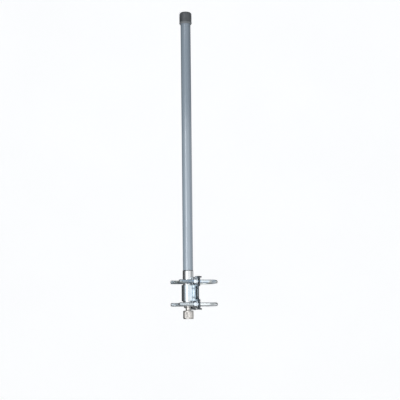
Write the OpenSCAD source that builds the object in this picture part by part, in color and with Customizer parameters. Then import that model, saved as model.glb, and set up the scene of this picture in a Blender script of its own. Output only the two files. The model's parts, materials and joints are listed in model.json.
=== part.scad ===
// Outdoor omnidirectional antenna with a mast clamp.
// The origin is on the mast axis, halfway up the clamp. +Z is up.
// The antenna stands on the -X side of the mast, and the U-bolt legs point to -X.
// All sizes are in millimetres.

/* [Radome] */
// Outside diameter of the fibreglass radome tube
radome_od = 21.5; // [21:0.1:22]
// Inside diameter of the radome tube
radome_id = 16.5; // [16.5:0.1:17]
// Diameter of the turned-down spigot that goes into the base sleeve
spigot_od = 19.2; // [19:0.1:19.2]
// Height of the top of the end cap above the clamp's middle
cap_top = 609.7; // [609:0.1:640]
// Outside diameter of the end cap
cap_od = 26.5; // [25:0.1:28]
// Length of the end cap
cap_len = 26.2; // [24:0.1:32]
// Radius on the end cap's top edge
cap_round = 4; // [2:0.5:5]

/* [Base sleeve and connector] */
// Outside diameter of the aluminium base sleeve
sleeve_od = 22.8; // [22.6:0.1:23.2]
// Bore of the base sleeve
sleeve_id = 19.3; // [19.3:0.1:19.5]
// Height of the sleeve's top edge above the clamp's middle
sleeve_top = 47; // [44:1:55]
// Depth of the sleeve's bottom edge below the clamp's middle
sleeve_bottom = 28; // [26:1:32]
// Diameter of the connector's neck
neck_d = 11.5; // [11:0.1:11.5]
// Length of the connector's neck between the sleeve and the coupling nut
neck_len = 8.5; // [6:0.5:12]
// Outside diameter of the coupling nut
coupling_od = 22; // [20:0.1:22.4]
// Length of the coupling nut
coupling_len = 17.5; // [17:0.5:20]
// Number of knurl grooves around the coupling nut
knurl_n = 40; // [24:1:48]

/* [Radiator] */
// Number of half-wave coaxial sections
section_n = 10; // [8:1:10]
// Length of one half-wave section
section_len = 43.2; // [40:0.1:43.2]
// Outside diameter of a section's brass tube
section_od = 6; // [5.6:0.1:6]
// Gap between two sections, where the conductors cross over
section_gap = 2.8; // [2.8:0.1:3]
// Length of the quarter-wave whip on the top section
whip_len = 31.8; // [29:0.1:31.8]

/* [Clamp] */
// Outside diameter of the mast the clamp is closed on
mast_d = 42.2; // [42:0.1:42.6]
// Height of the clamp plates
plate_h = 70; // [68:1:74]
// Width of the saddle plate at the U-bolts
plate_w = 68; // [67:1:72]
// Width of the saddle plate at its waist
waist_w = 53; // [50:1:56]
// Width of the strap's flanges at the U-bolts
flange_w = 60; // [58:1:62]
// Width of the strap's flanges at their waist
flange_waist_w = 40; // [38:1:42]
// Height of the waist
waist_h = 27; // [24:1:28]
// Thickness of the saddle plate
saddle_t = 3; // [2.5:0.5:3]
// Thickness of the strap
strap_t = 2.5; // [2:0.5:2.5]
// Height of the strap where it wraps the sleeve
wrap_h = 34; // [30:1:36]
// Half of the angle that each saddle jaw covers on the mast
jaw_angle = 55; // [55:1:58]

/* [U-bolts] */
// Diameter of the U-bolt rod
rod_d = 8; // [8:0.1:8]
// Distance from the mast axis to each leg
leg_y = 25.7; // [25.6:0.1:26]
// Distance from the mast axis to the legs' ends
leg_end = 65; // [60:1:70]
// Height of each U-bolt from the clamp's middle
bolt_z = 23.7; // [22.5:0.1:24.5]
// Length of thread on each leg
thread_len = 42; // [38:1:44]
// Width across the flats of a nut
nut_af = 13; // [12.8:0.1:13]
// Height of a nut
nut_h = 6.5; // [6:0.1:6.8]
// Outside diameter of a flat washer
washer_od = 17; // [15:0.5:17]
// Width of the holes and open slots for the legs
slot_w = 9; // [8.6:0.1:9.4]

/* [Hidden] */
$fn = 96;

// Clamp faces along X: the saddle plate's two faces, then the strap flanges' outer face
mast_r = mast_d / 2;
saddle_in = -(mast_r + 0.2);
saddle_out = saddle_in - saddle_t;
strap_out = saddle_out - strap_t;
// The sleeve lies against the saddle plate with a sliding clearance
slide_gap = 0.05;
ant_x = saddle_out - sleeve_od / 2 - slide_gap;

// Heights along the antenna
cap_bottom = cap_top - cap_len;
radome_top = cap_top - 7;
seal_top = sleeve_top + 1;
neck_top = -sleeve_bottom;
nut_top = neck_top - neck_len;
nut_bottom = nut_top - coupling_len;
whip_depth = 13; // from the radome's top down to the whip's tip
whip_top = radome_top - whip_depth;
sections_top = whip_top - whip_len;
section_pitch = section_len + section_gap;
sections_bottom = sections_top - section_n * section_len - (section_n - 1) * section_gap;
feed_top = sections_bottom - section_gap;

// ---------- helpers ----------

// Places its children on the antenna's axis
module on_antenna() { translate([ant_x, 0, 0]) children(); }

// Round tube about Z
module tube(od, id, z0, z1) {
    translate([0, 0, z0]) difference() {
        cylinder(d = od, h = z1 - z0);
        translate([0, 0, -1]) cylinder(d = id, h = z1 - z0 + 2);
    }
}

// Round bar about Z
module bar(d, z0, z1) { translate([0, 0, z0]) cylinder(d = d, h = z1 - z0); }

// Rectangle with rounded corners
module round_rect(w, h, r) {
    square([w - 2 * r, h], center = true);
    square([w, h - 2 * r], center = true);
    for (sx = [-1, 1], sy = [-1, 1])
        translate([sx * (w / 2 - r), sy * (h / 2 - r)]) circle(r);
}

// Turns a flat outline drawn as (y, z) into a plate between two X values
module upright(x0, x1) {
    translate([x0, 0, 0]) rotate([90, 0, 90]) linear_extrude(x1 - x0) children();
}

// ---------- radome ----------

bead_r = 1.3; // round bead at the cap's bottom edge
bead_inset = 1; // from the cap's side to the bead's centre
cap_side_start = 1.2; // height where the cap's straight side starts
cap_fit = 0.03; // radial clearance on the radome
cap_end_gap = 0.1; // above the radome's top
spigot_len = 33;

module end_cap() {
    cap_r = cap_od / 2;
    color("#3f4347") on_antenna() rotate_extrude() difference() {
        union() {
            translate([0, cap_bottom + cap_side_start])
                square([cap_r, cap_len - cap_round - cap_side_start]);
            translate([0, cap_bottom]) square([cap_r - cap_round, cap_len]);
            translate([0, cap_bottom]) square([cap_r - 0.9, 2 * bead_r]);
            translate([cap_r - cap_round, cap_top - cap_round]) circle(cap_round);
            translate([cap_r - bead_inset, cap_bottom + bead_r]) circle(bead_r);
        }
        translate([-1, cap_bottom - 1])
            square([radome_od / 2 + cap_fit + 1, radome_top - cap_bottom + 1 + cap_end_gap]);
        // Keeps the profile on the positive side of the axis
        translate([-20, cap_bottom - 2]) square([20, cap_len + 4]);
    }
}

module radome_tube() {
    spigot_bottom = sleeve_top - spigot_len;
    color("#9fabb6") on_antenna() difference() {
        union() {
            bar(radome_od, seal_top, radome_top);
            bar(spigot_od, spigot_bottom, seal_top + 1);
        }
        bar(radome_id, spigot_bottom - 1, radome_top + 1);
    }
}

module joint_seal() {
    color("#2b2d30") on_antenna() tube(radome_od + 0.3, spigot_od + 0.02, sleeve_top, seal_top);
}

// ---------- base and connector ----------

top_chamfer = 0.4;
bore_chamfer = 0.4;
bottom_chamfer = 0.5;

plug_len = 20;
plug_hole_d = 5; // through the plug's upper end
neck_depth = 14; // of the neck inside the plug
oring_z = neck_top + 16.6;
oring_groove_w = 1.6;

feed_od = 3.6;
feed_id = 3;
feed_core_d = 0.92;
feed_bottom = neck_top + 9.6;

pin_d = 3;
pin_tip_d = 1.65;
pin_tip_z = nut_bottom + 4.6;
pin_hole_bottom = neck_top + 5;
barrel_d = 8; // thin lower end of the connector body
insulator_bore = 7;
insulator_bore_top = neck_top + 9.5;

// Flange on the connector body, from the step between its barrel and its neck
flange_z = nut_top - 4.6;
flange_d = 14.2;
flange_bottom = flange_z - 1.9;
flange_top = flange_z + 1;
gasket_t = 1.6;

// Snap ring, and the grooves for it in the neck and in the nut
snap_z = nut_top - 1.65;
snap_t = 0.9;
neck_groove_w = 1.1;
nut_groove_w = 1.2;
snap_slit_w = 1.6;

mouth_d = 14.8;
mouth_flare_d = 16.4;
mouth_flare_h = 0.8;
knurl_r = 0.5;
knurl_inset = 0.15; // from the nut's side out to a groove's centre
knurl_start = 2.2;

module base_sleeve() {
    inner_r = sleeve_id / 2;
    outer_r = sleeve_od / 2;
    // Columns: radius, height
    color("#d5d8da") on_antenna() rotate_extrude() polygon([
        [inner_r, neck_top + bore_chamfer], [inner_r + bore_chamfer, neck_top],
        [outer_r - bottom_chamfer, neck_top], [outer_r, neck_top + bottom_chamfer],
        [outer_r, sleeve_top - top_chamfer], [outer_r - top_chamfer, sleeve_top],
        [inner_r, sleeve_top]
    ]);
}

module base_plug() {
    color("#c3c6c8") on_antenna() difference() {
        bar(sleeve_id - 0.1, neck_top, neck_top + plug_len);
        bar(neck_d + 0.02, neck_top - 1, neck_top + neck_depth + 0.2);
        bar(plug_hole_d, neck_top, neck_top + plug_len + 1);
        // O-ring groove
        tube(sleeve_id + 4, sleeve_id - 2.7,
            oring_z - oring_groove_w / 2, oring_z + oring_groove_w / 2);
    }
}

module plug_oring() {
    color("#1d1e20") on_antenna() translate([0, 0, oring_z])
        rotate_extrude() translate([sleeve_id / 2 - 0.67, 0]) circle(0.65);
}

module connector_body() {
    color("#c9c3bb") on_antenna() difference() {
        union() {
            bar(neck_d, flange_z + 0.5, neck_top + neck_depth);
            bar(flange_d, flange_bottom, flange_top);
            bar(barrel_d, nut_bottom + 2.5, flange_z);
        }
        // Bore for the insulator, then the hole the feed cable is soldered into
        bar(insulator_bore, nut_bottom + 1, insulator_bore_top);
        bar(feed_od + 0.1, insulator_bore_top - 0.5, neck_top + neck_depth + 1);
        // Groove for the snap ring
        tube(neck_d + 4, neck_d - 1.2, snap_z - neck_groove_w / 2, snap_z + neck_groove_w / 2);
    }
}

module connector_insulator() {
    color("#f2f1ec") on_antenna()
        tube(insulator_bore - 0.04, pin_d + 0.04, flange_z - 1, neck_top + 7.5);
}

module connector_pin() {
    shoulder_z = nut_bottom + 9;
    pin_top = neck_top + 8;
    color("#d8b45c") on_antenna() difference() {
        union() {
            bar(pin_d, shoulder_z, pin_top);
            bar(pin_tip_d, pin_tip_z, shoulder_z + 1);
            translate([0, 0, pin_tip_z]) sphere(d = pin_tip_d);
        }
        bar(feed_core_d + 0.06, pin_hole_bottom, pin_top + 1);
    }
}

module connector_gasket() {
    color("#b5462f") on_antenna()
        tube(13.4, barrel_d + 0.04, flange_bottom - gasket_t, flange_bottom);
}

module snap_ring() {
    color("#8f9499") on_antenna() difference() {
        tube(neck_d + 1.3, neck_d - 1, snap_z - snap_t / 2, snap_z + snap_t / 2);
        translate([0, -snap_slit_w / 2, nut_top - 3]) cube([10, snap_slit_w, 3]);
    }
}

module coupling_nut() {
    nut_r = coupling_od / 2;
    color("#d6cfc8") on_antenna() difference() {
        // Columns: radius, height
        rotate_extrude() polygon([
            [0, nut_bottom], [nut_r - 1.2, nut_bottom], [nut_r - 0.4, nut_bottom + 0.5],
            [nut_r, nut_bottom + 1.3], [nut_r, nut_top - 1.2],
            [nut_r - 1, nut_top], [0, nut_top]
        ]);
        // Mouth and chamber for the body's flange, the bore round the neck, the ring groove
        bar(mouth_d, nut_bottom - 1, flange_top + 0.1);
        bar(neck_d + 0.16, nut_bottom, nut_top + 1);
        bar(neck_d + 1.5, snap_z - nut_groove_w / 2, snap_z + nut_groove_w / 2);
        translate([0, 0, nut_bottom - 0.01])
            cylinder(d1 = mouth_flare_d, d2 = mouth_d, h = mouth_flare_h);
        // Straight knurl
        for (i = [0 : knurl_n - 1]) rotate([0, 0, i * 360 / knurl_n])
            translate([nut_r + knurl_inset, 0, nut_bottom + knurl_start])
                cylinder(r = knurl_r, h = coupling_len - 6);
    }
}

// ---------- radiator ----------

core_d = 1.6; // the whip and the sections' inner conductors
section_wall = 0.5;
section_id = section_od - 2 * section_wall;
cushion_len = 15;
link_d = 0.7;
spacer_h = 8;
choke_od = 12;
choke_id = 11;
choke_top = feed_top - 2.5;
choke_end_t = 1.5;
choke_bottom = feed_top - 33;

function section_z(i) = sections_bottom + i * section_pitch;

// Runs its children at the bottom of each half-wave section
module at_sections() {
    for (i = [0 : section_n - 1]) translate([0, 0, section_z(i)]) children();
}

module top_cushion() {
    color("#e6e2d6") on_antenna() difference() {
        bar(radome_id - 0.1, radome_top - cushion_len, radome_top);
        bar(core_d + 0.3, radome_top - cushion_len - 1, whip_top + 1);
    }
}

module top_whip() {
    color("#c9a04b") on_antenna() bar(core_d, sections_top, whip_top);
}

module section_tubes() {
    color("#c9a04b") on_antenna() at_sections() tube(section_od, section_id, 0, section_len);
}

module section_cores() {
    color("#b87345") on_antenna() at_sections() bar(core_d, 0, section_len);
}

module section_dielectrics() {
    color("#f2f1ec") on_antenna() at_sections()
        tube(section_id - 0.02, core_d + 0.02, 0, section_len);
}

// One crossing wire: up at x0, across at height cross_z, then up at x1
module link(x0, x1, cross_z) {
    translate([x0, 0, 0]) cylinder(d = link_d, h = cross_z);
    translate([x0, 0, cross_z]) sphere(d = link_d);
    translate([min(x0, x1), 0, cross_z]) rotate([0, 90, 0])
        cylinder(d = link_d, h = abs(x1 - x0));
    translate([x1, 0, cross_z]) sphere(d = link_d);
    translate([x1, 0, cross_z]) cylinder(d = link_d, h = section_gap - cross_z);
}

// The lowest pair of links starts on the feed cable's core and in its wall
module section_links() {
    tube_x = (section_od - section_wall) / 2;
    core_x = 0.4;
    feed_core_x = 0.1;
    feed_wall_x = (feed_od + feed_id) / 4;
    color("#c9a04b") on_antenna() {
        for (i = [0 : section_n - 1]) translate([0, 0, section_z(i) - section_gap]) {
            link(i == 0 ? feed_core_x : core_x, tube_x, cross_z = 0.9);
            link(i == 0 ? -feed_wall_x : -tube_x, -core_x, cross_z = 1.9);
        }
    }
}

// One disc halfway up every second section
module spacer_discs() {
    color("#e6e2d6") on_antenna() for (i = [0 : 2 : section_n - 1])
        translate([0, 0, section_z(i) + section_len / 2])
            tube(radome_id - 0.16, section_od + 0.1, -spacer_h / 2, spacer_h / 2);
}

module choke_sleeve() {
    color("#c9a04b") on_antenna() difference() {
        bar(choke_od, choke_bottom, choke_top);
        bar(choke_id, choke_bottom - 1, choke_top - choke_end_t);
        bar(feed_od + 0.04, feed_top - 5, feed_top);
    }
}

module choke_insulator() {
    color("#f2f1ec") on_antenna()
        tube(choke_id - 0.06, feed_od + 0.06, choke_bottom + 1, choke_bottom + 6);
}

module feed_cable() {
    color("#b87345") on_antenna() tube(feed_od, feed_id, feed_bottom, feed_top);
}

module feed_dielectric() {
    color("#f2f1ec") on_antenna()
        tube(feed_id - 0.02, feed_core_d + 0.02, feed_bottom, feed_top);
}

module feed_core() {
    color("#c9a04b") on_antenna() bar(feed_core_d, pin_hole_bottom + 0.2, feed_top);
}

// ---------- mast clamp ----------

plate_corner_r = 3;
notch_over = 2; // how far each waist notch's cutter passes the plate's edge
slot_reach = 20;

// Saddle jaws: half-widths at the plate, at the shoulder and at the tip
jaw_root_y = 24.5;
jaw_shoulder_y = 23.6;
jaw_tip_y = 18.6;
jaw_shoulder_x = -19.5;
jaw_bend_r = 1.5;
jaw_bend_len = 12;

wrap_ri = sleeve_od / 2 + slide_gap;
wrap_ro = wrap_ri + strap_t;
bend_r = 2.5;
bend_x = strap_out - bend_r; // where the strap's straight sides end
rib_z = 9.2;
rib_t = 2.4;
rib_foot = 8; // from the wrap's side to where the slope meets the flange face
tab_end = 9.6; // from the wrap's side to the tab's end

washer_t = 1.6;
nut_x = strap_out - washer_t - nut_h;
bow_shift = 0.5; // of the U-bolt's bow towards -X
thread_d = rod_d - 0.1;
thread_overlap = 0.5;
tip_len = 1;

// Outline of a plate with two lobes, a narrower waist, and holes or open slots for the legs
module plate_outline(w, waist, open) {
    difference() {
        round_rect(w, plate_h, plate_corner_r);
        for (s = [-1, 1]) {
            translate([s * ((w + waist) / 4 + notch_over / 2), 0])
                round_rect((w - waist) / 2 + notch_over, waist_h, plate_corner_r);
            for (k = [-1, 1]) translate([s * leg_y, k * bolt_z]) {
                circle(d = slot_w);
                if (open)
                    translate([s > 0 ? 0 : -slot_reach, -slot_w / 2])
                        square([slot_reach, slot_w]);
            }
        }
    }
}

module saddle_plate() {
    jaw_tip_x = -mast_r * cos(jaw_angle);
    color("#b4bcc2") {
        upright(saddle_out, saddle_in) plate_outline(plate_w, waist_w, open = false);
        // Two jaws bent towards the mast, each with an arc that fits it
        for (s = [-1, 1]) translate([0, 0, s > 0 ? plate_h / 2 - saddle_t : -plate_h / 2])
            linear_extrude(saddle_t) difference() {
                polygon([
                    [saddle_out, -jaw_root_y], [saddle_in, -jaw_root_y],
                    [jaw_shoulder_x, -jaw_shoulder_y], [jaw_tip_x, -jaw_tip_y],
                    [jaw_tip_x, jaw_tip_y], [jaw_shoulder_x, jaw_shoulder_y],
                    [saddle_in, jaw_root_y], [saddle_out, jaw_root_y]
                ]);
                circle(mast_r);
            }
        // Inner radius of each bend, in two pieces with a gap in the middle
        for (s = [-1, 1], start_y = [-2 * jaw_bend_len, jaw_bend_len])
            translate([saddle_in, start_y, s * (plate_h / 2 - saddle_t)])
                mirror([0, 0, s > 0 ? 0 : 1]) difference() {
                    translate([-0.5, 0, -jaw_bend_r])
                        cube([jaw_bend_r + 0.5, jaw_bend_len, jaw_bend_r + 0.5]);
                    translate([jaw_bend_r, -1, -jaw_bend_r]) rotate([-90, 0, 0])
                        cylinder(r = jaw_bend_r, h = jaw_bend_len + 2);
                }
    }
}

// One half of the strap's cross-section, for y > 0, seen from above, about the antenna's axis
module strap_half() {
    bend_ro = bend_r + strap_t;
    intersection() {
        difference() { circle(wrap_ro); circle(wrap_ri); }
        translate([-wrap_ro - 1, -0.01]) square([wrap_ro + 1, wrap_ro + 1]);
    }
    translate([-0.01, wrap_ri]) square([bend_x - ant_x + 0.02, strap_t]);
    translate([bend_x - ant_x, wrap_ro + bend_r]) intersection() {
        difference() { circle(bend_ro); circle(bend_r); }
        translate([0, -bend_ro - 1]) square([bend_ro + 1, bend_ro + 1]);
    }
}

module clamp_strap() {
    flange_start = wrap_ro + bend_r;
    rib_start_x = ant_x + 1.5;
    color("#b4bcc2") {
        translate([ant_x, 0, -wrap_h / 2]) linear_extrude(wrap_h)
            for (s = [0, 1]) mirror([0, s]) strap_half();
        // Flanges that lie on the saddle plate
        difference() {
            upright(strap_out, saddle_out) plate_outline(flange_w, flange_waist_w, open = true);
            translate([strap_out - 1, -flange_start, -plate_h])
                cube([strap_t + 2, 2 * flange_start, 2 * plate_h]);
        }
        // Pressed ribs that stiffen the bends and end in short tabs on the saddle plate
        for (s = [-1, 1], t = [-1, 1])
            translate([0, 0, t * rib_z - rib_t / 2]) linear_extrude(rib_t) polygon([
                [rib_start_x, s * (wrap_ro - 1)], [rib_start_x, s * wrap_ro],
                [strap_out, s * (wrap_ro + rib_foot)], [strap_out, s * (wrap_ro + tab_end)],
                [saddle_out, s * (wrap_ro + tab_end)], [saddle_out, s * (flange_start + 0.5)],
                [bend_x, s * (wrap_ro - 1)]
            ]);
    }
}

// One U-bolt about the mast axis
module u_bolt() {
    thread_start = leg_end - thread_len;
    color("#a9b6bf") {
        translate([-bow_shift, 0, 0]) rotate([0, 0, -90]) rotate_extrude(angle = 180)
            translate([leg_y, 0]) circle(d = rod_d);
        for (s = [-1, 1]) translate([0, s * leg_y, 0]) rotate([0, -90, 0]) {
            bar(rod_d, bow_shift, thread_start);
            bar(thread_d, thread_start - thread_overlap, leg_end - tip_len);
            translate([0, 0, leg_end - tip_len])
                cylinder(d1 = thread_d, d2 = rod_d - 1.7, h = tip_len);
        }
    }
}

module upper_u_bolt() { translate([0, 0, bolt_z]) u_bolt(); }
module lower_u_bolt() { translate([0, 0, -bolt_z]) u_bolt(); }

// Hexagon nut about X with chamfered corners, bored with a running clearance on the leg
module hex_nut() {
    face_r = nut_af / 2 - 0.2;
    rim_r = nut_af / 2 + 1.2;
    chamfer_h = 0.8;
    color("#b9c1c6") difference() {
        intersection() {
            rotate([0, 90, 0]) cylinder(d = nut_af / cos(30), h = nut_h, $fn = 6);
            rotate([0, 90, 0]) rotate_extrude() polygon([
                [0, 0], [face_r, 0], [rim_r, chamfer_h],
                [rim_r, nut_h - chamfer_h], [face_r, nut_h], [0, nut_h]
            ]);
        }
        translate([-1, 0, 0]) rotate([0, 90, 0]) cylinder(d = rod_d + 0.06, h = nut_h + 2);
    }
}

// Nut on the leg at the given signs of Y and Z
module leg_nut(sy, sz) { translate([nut_x, sy * leg_y, sz * bolt_z]) hex_nut(); }

module upper_near_nut() { leg_nut(-1, 1); }
module upper_far_nut() { leg_nut(1, 1); }
module lower_near_nut() { leg_nut(-1, -1); }
module lower_far_nut() { leg_nut(1, -1); }

module flat_washers() {
    color("#aab2b8") for (sy = [-1, 1], sz = [-1, 1])
        translate([strap_out - washer_t, sy * leg_y, sz * bolt_z]) rotate([0, 90, 0])
            tube(washer_od, rod_d + 0.4, 0, washer_t);
}

end_cap();
radome_tube();
joint_seal();
base_sleeve();
base_plug();
plug_oring();
connector_body();
connector_insulator();
connector_pin();
connector_gasket();
snap_ring();
coupling_nut();
top_cushion();
top_whip();
section_tubes();
section_cores();
section_dielectrics();
section_links();
spacer_discs();
choke_sleeve();
choke_insulator();
feed_cable();
feed_dielectric();
feed_core();
saddle_plate();
clamp_strap();
upper_u_bolt();
lower_u_bolt();
upper_near_nut();
upper_far_nut();
lower_near_nut();
lower_far_nut();
flat_washers();
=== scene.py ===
"""Tube antenna held to a mast by a pressed clamp and two U-bolts.

The tube stands along Z at x = TUBE_X, y = 0: cap on top, radome, sleeve, connector below.
The clamp is centred on y = 0, z = 0. The U-bolts bend on the mast's side (+X), and their
threaded legs point along -X. Lengths are in millimetres unless a comment says otherwise.
"""
import math
import json

import bpy
import bmesh
import numpy as np
from mathutils import Vector, Matrix
from mathutils.geometry import delaunay_2d_cdt


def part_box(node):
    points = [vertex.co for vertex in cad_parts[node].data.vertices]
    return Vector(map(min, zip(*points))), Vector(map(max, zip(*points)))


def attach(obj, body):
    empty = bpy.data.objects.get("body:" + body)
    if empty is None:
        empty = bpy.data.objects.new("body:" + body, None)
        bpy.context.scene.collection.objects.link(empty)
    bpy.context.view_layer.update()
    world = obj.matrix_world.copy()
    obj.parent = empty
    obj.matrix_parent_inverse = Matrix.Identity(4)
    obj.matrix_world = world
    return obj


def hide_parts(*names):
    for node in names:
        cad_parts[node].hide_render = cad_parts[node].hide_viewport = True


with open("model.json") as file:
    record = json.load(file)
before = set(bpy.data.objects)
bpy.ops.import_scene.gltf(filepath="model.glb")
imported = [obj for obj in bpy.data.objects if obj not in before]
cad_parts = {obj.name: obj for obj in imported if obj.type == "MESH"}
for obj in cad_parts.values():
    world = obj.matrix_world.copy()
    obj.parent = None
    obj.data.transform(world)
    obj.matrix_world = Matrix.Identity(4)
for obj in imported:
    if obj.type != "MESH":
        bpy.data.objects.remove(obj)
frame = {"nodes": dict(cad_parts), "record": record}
scene = bpy.context.scene
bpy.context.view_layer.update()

MM = 0.001
TAU = 2 * math.pi


# ---------------------------------------------------------------- sizes read from the frame
def box_mm(node):
    low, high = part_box(node)
    return (np.array(low) * 1000.0).tolist(), (np.array(high) * 1000.0).tolist()


def round_size(node, axis=1):
    """Radius, bottom and top of an upright round piece; its width is taken along axis."""
    low, high = box_mm(node)
    return (high[axis] - low[axis]) / 2, low[2], high[2]


# tube and connector
low, high = box_mm("base_sleeve")
TUBE_X = (low[0] + high[0]) / 2
SLEEVE_R, SLEEVE_Z0, SLEEVE_Z1 = round_size("base_sleeve", axis=0)
RADOME_R, RADOME_Z0, RADOME_Z1 = round_size("radome_tube")
SEAL_R, SEAL_Z0, SEAL_Z1 = round_size("joint_seal")
CAP_BEAD_R, CAP_Z0, CAP_Z1 = round_size("end_cap")
CAP_R = CAP_BEAD_R - 0.3
COUPLING_R, COUPLING_Z0, COUPLING_Z1 = round_size("coupling_nut")
_, CONN_Z0, CONN_Z1 = round_size("connector_body")
CAP_BORE_R = RADOME_R + 0.03
RADOME_BORE_R = 8.25
SPIGOT_R = 9.6                         # radome below the seal, inside the sleeve
SLEEVE_BORE_R = 9.65
NECK_R = 5.75                          # connector body inside the coupling nut
FLANGE_Z = COUPLING_Z1 - 4.6
GROOVE_Z0, GROOVE_Z1 = COUPLING_Z1 - 2.2, COUPLING_Z1 - 1.1

# clamp plates
low, high = box_mm("clamp_strap")
STRAP_X0, STRAP_X1 = low[0], high[0]   # apex of the wrap, back of the flanges
PLATE_Y, PLATE_Z = high[1], high[2]    # half width and half height
SADDLE_Y = box_mm("saddle_plate")[1][1]
STRAP_T = 2.5
SADDLE_T = 3.0
WRAP_OUTER_R = TUBE_X - STRAP_X0
WRAP_INNER_R = WRAP_OUTER_R - STRAP_T
STRAP_BEND_R = 2.5                     # inside radius between wrap and flange
SADDLE_BEND_R = 1.5                    # inside radius between plate and shelves
MAST_R = 21.15
BOLT_HOLE_R = 4.5
MIDDLE_Z = 13.5                        # half height of both plates' middle step

# bolts, nuts and washers
low, high = box_mm("upper_u_bolt")
BOLT_Z = (low[2] + high[2]) / 2
low, high = box_mm("lower_u_bolt")
ROD_R = (high[2] - low[2]) / 2
LEG_Y = high[1] - ROD_R
BEND_X = high[0] - ROD_R - LEG_Y       # centre of the bend
TIP_X = low[0]
BOLT_PITCH = 1.25
low, high = box_mm("upper_near_nut")
NUT_X0, NUT_X1 = low[0], high[0]
NUT_FLATS = min(high[1] - low[1], high[2] - low[2])
low, high = box_mm("flat_washers")
WASHER_X0, WASHER_X1 = low[0], high[0]
WASHER_R = high[1] - LEG_Y


# ---------------------------------------------------------------- node helpers
class Nodes:
    """Builds a node tree. Values are numbers, RGB tuples or output sockets."""

    def __init__(self, owner):
        owner.use_nodes = True
        self.tree = owner.node_tree
        self.tree.nodes.clear()

    def add(self, kind, **settings):
        node = self.tree.nodes.new(kind)
        for key, value in settings.items():
            setattr(node, key, value)
        return node

    def feed(self, socket, value):
        if isinstance(value, (int, float)):
            socket.default_value = value
        elif isinstance(value, tuple):
            socket.default_value = (*value, 1)
        else:
            self.tree.links.new(value, socket)

    def math(self, operation, first, second=0.0):
        node = self.add("ShaderNodeMath", operation=operation)
        self.feed(node.inputs[0], first)
        self.feed(node.inputs[1], second)
        return node.outputs[0]

    def mix(self, under, over, amount, mode="MIX"):
        node = self.add("ShaderNodeMix", data_type="RGBA", blend_type=mode)
        for i, value in ((0, amount), (6, under), (7, over)):
            self.feed(node.inputs[i], value)
        return node.outputs[2]

    def ramp(self, value, stops):
        """Colour ramp; stops are (position, RGB)."""
        node = self.add("ShaderNodeValToRGB")
        elements = node.color_ramp.elements
        while len(elements) < len(stops):
            elements.new(0.5)
        for i, (position, color) in enumerate(stops):
            elements[i].position = position
            elements[i].color = (*color, 1)
        self.feed(node.inputs[0], value)
        return node.outputs[0]


class Material(Nodes):
    """Node material around one Principled shader, textured in object space (metres)."""

    def __init__(self, name):
        self.material = bpy.data.materials.new(name)
        super().__init__(self.material)
        output = self.add("ShaderNodeOutputMaterial")
        self.shader = self.add("ShaderNodeBsdfPrincipled")
        self.feed(output.inputs[0], self.shader.outputs[0])
        self.coords = self.add("ShaderNodeTexCoord")

    def mapped(self, stretch=(1, 1, 1), shift=(0, 0, 0)):
        node = self.add("ShaderNodeMapping")
        node.inputs["Scale"].default_value = stretch
        node.inputs["Location"].default_value = shift
        self.feed(node.inputs["Vector"], self.coords.outputs["Object"])
        return node.outputs[0]

    def noise(self, scale=1.0, detail=3, rough=0.55, distortion=0.0, **mapping):
        vector = self.mapped(**mapping)
        node = self.add("ShaderNodeTexNoise")
        for key, value in (("Scale", scale), ("Detail", detail), ("Roughness", rough),
                           ("Distortion", distortion), ("Vector", vector)):
            self.feed(node.inputs[key], value)
        return node.outputs["Fac"]

    def voronoi(self, scale):
        node = self.add("ShaderNodeTexVoronoi")
        node.inputs["Scale"].default_value = scale
        self.feed(node.inputs["Vector"], self.mapped())
        return node.outputs

    def xyz(self):
        node = self.add("ShaderNodeSeparateXYZ")
        self.feed(node.inputs[0], self.coords.outputs["Object"])
        return node.outputs

    def remap(self, value, to=(0, 1), span=(0.3, 0.7)):
        """Maps span onto to, clamped."""
        node = self.add("ShaderNodeMapRange")
        for i, number in enumerate((*span, *to)):
            node.inputs[i + 1].default_value = number
        self.feed(node.inputs[0], value)
        return node.outputs[0]

    def edge_wear(self, span=(0.52, 0.62)):
        """Mask of convex edges."""
        geometry = self.add("ShaderNodeNewGeometry")
        return self.remap(geometry.outputs["Pointiness"], span=span)

    def bump(self, height, distance, strength=0.5, over=None):
        """Bump of the given distance in metres, laid over an earlier bump's normal if given."""
        node = self.add("ShaderNodeBump")
        node.inputs["Strength"].default_value = strength
        node.inputs["Distance"].default_value = distance
        self.feed(node.inputs["Height"], height)
        if over is not None:
            self.feed(node.inputs["Normal"], over)
        return node.outputs[0]

    def put(self, **inputs):
        """Feeds shader inputs; an underscore stands for a space. Returns the material."""
        for key, value in inputs.items():
            self.feed(self.shader.inputs[key.replace("_", " ")], value)
        return self.material


def brighter(color, factor):
    return tuple(min(1, c * factor) for c in color)


# ---------------------------------------------------------------- materials
def mat_radome():
    """Blue-grey gelcoat with lengthwise streaks and a glossy coat."""
    mat = Material("radome_gelcoat")
    streak = mat.noise(stretch=(900, 900, 9), detail=4, rough=0.6)
    fine = mat.noise(stretch=(2600, 2600, 60), rough=0.6)
    cloud = mat.noise(stretch=(18, 18, 5), rough=0.5)
    color = mat.mix(under=(0.272, 0.330, 0.388), over=(0.300, 0.358, 0.415),
                    amount=mat.remap(streak, to=(0, 0.55)))
    color = mat.mix(under=color, over=(0.250, 0.308, 0.368),
                    amount=mat.remap(cloud, to=(0, 0.35), span=(0.35, 0.7)))
    speck = mat.noise(stretch=(700, 700, 420), detail=2, rough=0.5)
    color = mat.mix(under=color, over=(0.16, 0.19, 0.22),
                    amount=mat.remap(speck, to=(0, 0.3), span=(0.74, 0.8)))
    normal = mat.bump(streak, distance=0.00003)
    return mat.put(
        Base_Color=color, Roughness=mat.remap(fine, to=(0.28, 0.38)), Specular_IOR_Level=0.5,
        Coat_Weight=1.0, Coat_IOR=1.75, Coat_Roughness=0.08,
        Normal=mat.bump(fine, distance=0.00001, over=normal))


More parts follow.
